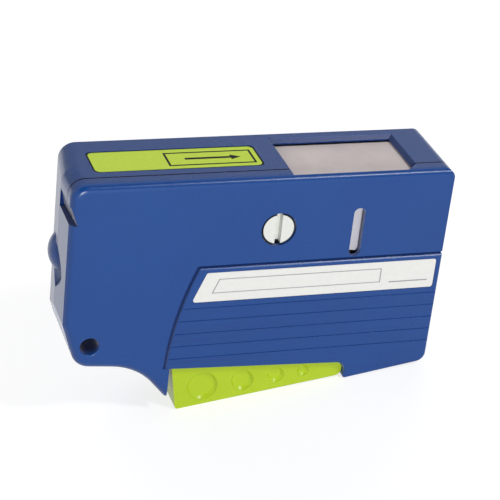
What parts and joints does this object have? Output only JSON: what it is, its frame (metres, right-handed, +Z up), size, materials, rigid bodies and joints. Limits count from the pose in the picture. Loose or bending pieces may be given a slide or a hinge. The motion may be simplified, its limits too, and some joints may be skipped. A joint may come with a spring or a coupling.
{
  "type": "fibre optic cleaning cassette",
  "caption": "Hand-held cassette that winds fresh cleaning tape past a window in its top when the sprung lever below is squeezed, for wiping fibre connector ends.",
  "frame": {"origin": "centre of the bounding box on the surface that the cassette stands on, with the lever tip and the foot touching it", "axes": "+X along the case towards the window end, +Y from the grip panel to the rear wall, +Z up"},
  "size_m": [0.1254, 0.0306, 0.0849],
  "materials": {
    "case_plastic": "fine spark texture, royal blue",
    "lever_plastic": "fine texture, lime green",
    "white_label": "plain white printed foil",
    "lime_label": "lime printed foil with a plain arrow",
    "lock_plastic": "white, satin",
    "natural_plastic": "natural acetal",
    "tape": "fine woven microfibre",
    "steel": "ground",
    "spring_steel": "bright spring steel",
    "felt": "grey felt",
    "platen_plastic": "black, satin",
    "pad_rubber": "soft black rubber"
  },
  "bodies": {
    "case": {"rear_case": "case_plastic", "front_cover": "case_plastic", "front_label": "white_label", "top_label": "lime_label", "lever_pin": "steel", "guide_pin_left": "steel", "guide_pin_right": "steel", "platen": "platen_plastic", "platen_pad": "pad_rubber", "cleaning_tape": "tape", "brake_spring": "spring_steel", "brake_pad": "felt", "lever_spring": "spring_steel"},
    "lever": {"lever": "lever_plastic"},
    "gear": {"drive_gear": "natural_plastic"},
    "take_up": {"take_up_core": "natural_plastic", "take_up_roll": "tape", "one_way_clutch": "steel"},
    "supply": {"supply_core": "natural_plastic", "supply_roll": "tape"},
    "guide_left": {"guide_roller_left": "natural_plastic"},
    "guide_right": {"guide_roller_right": "natural_plastic"},
    "lock": {"cover_lock": "lock_plastic"}
  },
  "joints": [
    {"name": "lever_press", "type": "hinge", "parent": "case", "child": "lever", "pos_m": [0.03172, 0, 0.00976], "axis": [0, 1, 0], "range_deg": [0, 10], "stiffness_Nm_per_rad": 0.6, "springref_deg": -25.78, "deforming": ["lever_spring"]},
    {"name": "gear_turn", "type": "hinge", "parent": "case", "child": "gear", "pos_m": [-0.03138, 0.00025, 0.05335], "axis": [0, 1, 0], "range_deg": [-33, 1]},
    {"name": "take_up_turn", "type": "hinge", "parent": "case", "child": "take_up", "pos_m": [-0.03138, 0.00025, 0.05335], "axis": [0, 1, 0], "continuous": true},
    {"name": "supply_turn", "type": "hinge", "parent": "case", "child": "supply", "pos_m": [0.02843, 0.00025, 0.03697], "axis": [0, 1, 0], "continuous": true},
    {"name": "guide_left_turn", "type": "hinge", "parent": "case", "child": "guide_left", "pos_m": [0.00705, -0.00025, 0.07208], "axis": [0, 1, 0], "continuous": true},
    {"name": "guide_right_turn", "type": "hinge", "parent": "case", "child": "guide_right", "pos_m": [0.05341, -0.00025, 0.06565], "axis": [0, 1, 0], "continuous": true},
    {"name": "lock_turn", "type": "hinge", "parent": "case", "child": "lock", "pos_m": [0.00556, -0.00975, 0.05913], "axis": [0, 1, 0], "range_deg": [-90, 0]}
  ],
  "couplings": [
    {"joint": "gear_turn", "follows": "lever_press", "ratio": -3.25},
    {"joint": "take_up_turn", "follows": "supply_turn", "ratio": 2.1372},
    {"joint": "guide_left_turn", "follows": "supply_turn", "ratio": 9.4036},
    {"joint": "guide_right_turn", "follows": "supply_turn", "ratio": 9.4036}
  ]
}
